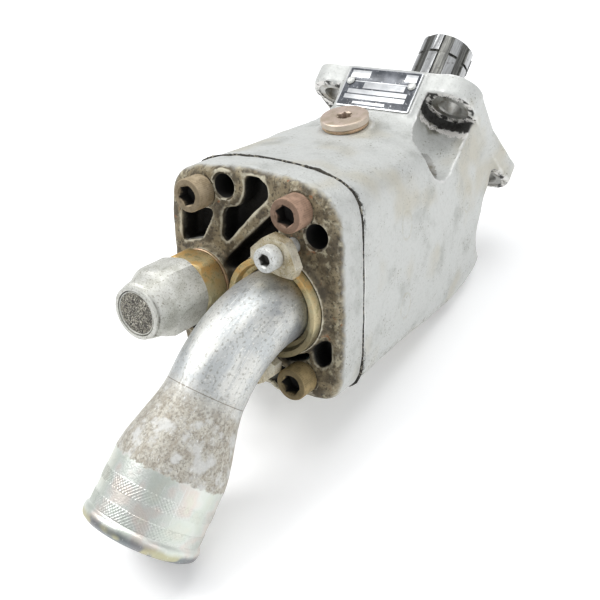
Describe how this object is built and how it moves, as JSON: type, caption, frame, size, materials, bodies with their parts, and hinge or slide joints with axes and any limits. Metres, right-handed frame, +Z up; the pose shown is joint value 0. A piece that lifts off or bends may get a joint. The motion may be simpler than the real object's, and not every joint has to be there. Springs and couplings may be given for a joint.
{
  "type": "axial piston pump",
  "caption": "Bent-axis axial piston pump with a square bolt flange, splined drive shaft, ribbed end cover, curved suction hose fitting and capped pressure port.",
  "frame": {"origin": "on the surface that the pump rests on, under the middle of its bounding box", "axes": "+X horizontal from the hose fitting to the splined shaft end, +Z up, +Y across the pump towards the capped pressure port; the barrel axis and the shaft axis both lie in the Y = 0 plane"},
  "size_m": [0.3856, 0.112, 0.1476],
  "materials": {
    "casing_paint": "silver-grey painted casting, dusty and speckled with grime",
    "cover_casting": "cast face under oily brown grime, with rust spots",
    "sealant": "dark squeezed-out joint sealant",
    "rusted_screws": "socket screws with a brown film of rust",
    "zinc_plating": "dull zinc plating with white bloom and dirt",
    "yellow_zinc": "yellow passivated zinc, stained",
    "copper_washer": "dull bonded sealing washer",
    "plug_steel": "steel plug with a brown tint",
    "plate_aluminium": "thin printed aluminium plate with blank fields",
    "machined_steel": "hardened and ground steel, oily",
    "bearing_bronze": "lapped bronze face",
    "seal_rubber": "black nitrile rubber"
  },
  "bodies": {
    "root": {"bearing_housing": "casing_paint", "end_cover": "cover_casting", "cover_gasket": "sealant", "cover_screw_1": "rusted_screws", "cover_screw_2": "rusted_screws", "cover_screw_3": "rusted_screws", "cover_screw_4": "rusted_screws", "valve_plate": "bearing_bronze", "valve_plate_dowel": "machined_steel", "rear_bearing_cup": "machined_steel", "front_bearing_cup": "machined_steel", "shaft_seal": "seal_rubber", "seal_retaining_ring": "machined_steel", "filler_plug": "plug_steel", "filler_plug_washer": "copper_washer", "rating_plate": "plate_aluminium", "rating_plate_rivet_1": "plate_aluminium", "rating_plate_rivet_2": "plate_aluminium", "suction_fitting": "zinc_plating", "suction_collar": "yellow_zinc", "suction_o_ring": "seal_rubber", "suction_clamp_1": "zinc_plating", "suction_clamp_2": "zinc_plating", "clamp_screw_1": "zinc_plating", "clamp_screw_2": "zinc_plating", "pressure_adapter": "yellow_zinc", "adapter_washer": "copper_washer", "cap_nut": "zinc_plating", "cap_plug": "zinc_plating"},
    "shaft": {"drive_shaft": "machined_steel", "shaft_timing_gear": "machined_steel", "rear_bearing_cone": "machined_steel", "front_bearing_cone": "machined_steel", "bearing_spacer": "machined_steel"},
    "barrel": {"cylinder_barrel": "machined_steel", "barrel_timing_gear": "machined_steel", "centre_pin": "machined_steel", "barrel_spring": "machined_steel", "piston_1": "machined_steel", "piston_2": "machined_steel", "piston_3": "machined_steel", "piston_4": "machined_steel", "piston_5": "machined_steel", "piston_6": "machined_steel", "piston_7": "machined_steel"},
    "rear_rollers": {"rear_bearing_rollers": "machined_steel"},
    "front_rollers": {"front_bearing_rollers": "machined_steel"}
  },
  "joints": [
    {"name": "shaft_turn", "type": "hinge", "parent": "root", "child": "shaft", "pos_m": [0.07762, 0, 0.05822], "axis": [0.8472, 0, 0.5313], "continuous": true},
    {"name": "barrel_turn", "type": "hinge", "parent": "root", "child": "barrel", "pos_m": [0.07762, 0, 0.05822], "axis": [0.9747, 0, -0.2233], "continuous": true},
    {"name": "rear_rollers_turn", "type": "hinge", "parent": "root", "child": "rear_rollers", "pos_m": [0.07762, 0, 0.05822], "axis": [0.8472, 0, 0.5313], "continuous": true},
    {"name": "front_rollers_turn", "type": "hinge", "parent": "root", "child": "front_rollers", "pos_m": [0.07762, 0, 0.05822], "axis": [0.8472, 0, 0.5313], "continuous": true}
  ],
  "couplings": [
    {"joint": "barrel_turn", "follows": "shaft_turn", "ratio": 1},
    {"joint": "rear_rollers_turn", "follows": "shaft_turn", "ratio": 0.46},
    {"joint": "front_rollers_turn", "follows": "shaft_turn", "ratio": 0.46}
  ]
}
